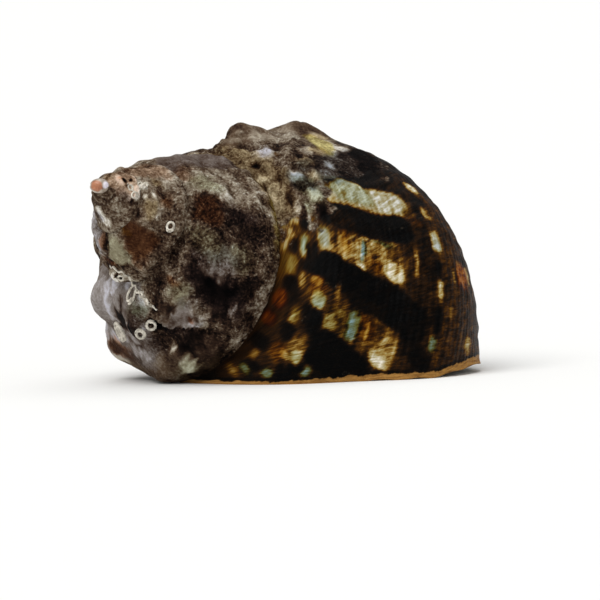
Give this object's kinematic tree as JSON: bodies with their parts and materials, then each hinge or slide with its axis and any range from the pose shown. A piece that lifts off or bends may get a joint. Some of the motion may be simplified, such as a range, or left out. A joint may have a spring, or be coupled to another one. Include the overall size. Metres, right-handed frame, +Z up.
{
  "type": "turban shell",
  "caption": "Coiled turban sea-snail shell standing on the flat lip of its round mouth, with a knobbed, crusted spire.",
  "frame": {"origin": "centre of the bounding box on the floor plane, which is the plane of the flat lip", "axes": "+Z up from the lip; +X along the length of the shell, away from the tip of the spire; -Y the side the spire leans toward"},
  "size_m": [0.0554, 0.0442, 0.0364],
  "materials": {
    "shell": "satin"
  },
  "bodies": {
    "root": {"shell": "shell"}
  },
  "joints": []
}
